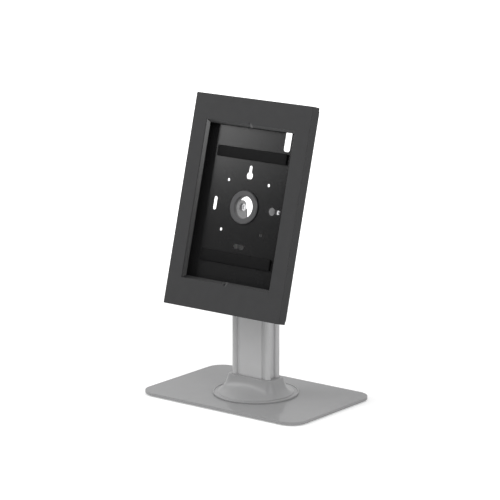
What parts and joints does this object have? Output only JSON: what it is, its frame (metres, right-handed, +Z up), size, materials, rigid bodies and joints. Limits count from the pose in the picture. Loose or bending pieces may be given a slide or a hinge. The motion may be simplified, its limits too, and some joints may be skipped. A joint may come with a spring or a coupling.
{
  "type": "tablet enclosure on a desk stand",
  "caption": "Lockable metal tablet enclosure with an open window, tilting and turning on a lobed column with a flared collar and a rectangular base plate.",
  "frame": {"origin": "on the floor under the middle of the base plate and of the column", "axes": "+Z up; the window faces -Y, leaning back 15 degrees; +X to the right as seen from the front"},
  "size_m": [0.3, 0.2, 0.4588],
  "materials": {
    "dark_coat": "fine matt powder coat, dark grey",
    "dark_trim": "matt moulding, dark grey",
    "foam": "closed cell foam, black",
    "pale_coat": "satin powder coat, pale grey",
    "pale_moulding": "satin moulding, pale grey",
    "bright_steel": "zinc plated",
    "nylon": "natural",
    "rubber": "matt"
  },
  "bodies": {
    "stand": {"left_rail": "pale_coat", "right_rail": "pale_coat", "front_panel": "pale_coat", "rear_panel": "pale_coat", "top_bridge": "pale_coat", "bridge_screws": "bright_steel", "collar": "pale_moulding", "base_plate": "pale_coat", "base_screws": "bright_steel", "rubber_feet": "rubber", "pivot_bolts": "bright_steel", "pivot_nuts": "bright_steel", "pivot_washers": "nylon", "pivot_bushes": "bright_steel"},
    "head": {"swivel_head": "pale_coat", "hub_ring": "pale_coat", "hub_washers": "nylon", "hub_screws": "bright_steel"},
    "tray": {"rear_tray": "dark_coat", "back_pads": "foam", "edge_pads": "foam", "hinge_pins": "bright_steel", "lock_barrel": "bright_steel", "lock_nut": "bright_steel", "stop_stud": "bright_steel"},
    "cover": {"front_cover": "dark_coat", "window_trim": "dark_trim"},
    "lock": {"lock_plug": "bright_steel", "lock_cam": "bright_steel", "cam_screw": "bright_steel"}
  },
  "joints": [
    {"name": "head_tilt", "type": "hinge", "parent": "stand", "child": "head", "pos_m": [0, 0, 0.291], "axis": [-1, 0, 0], "range_deg": [-15, 60]},
    {"name": "enclosure_turn", "type": "hinge", "parent": "head", "child": "tray", "pos_m": [0, -0.02811, 0.29853], "axis": [0, -0.9659, 0.2588], "range_deg": [0, 90]},
    {"name": "cover_swing", "type": "hinge", "parent": "tray", "child": "cover", "pos_m": [0, -0.06801, 0.14575], "axis": [1, 0, 0], "range_deg": [0, 100]},
    {"name": "lock_turn", "type": "hinge", "parent": "tray", "child": "lock", "pos_m": [0, 0.01006, 0.43324], "axis": [0, -0.9659, 0.2588], "range_deg": [0, 90]}
  ]
}
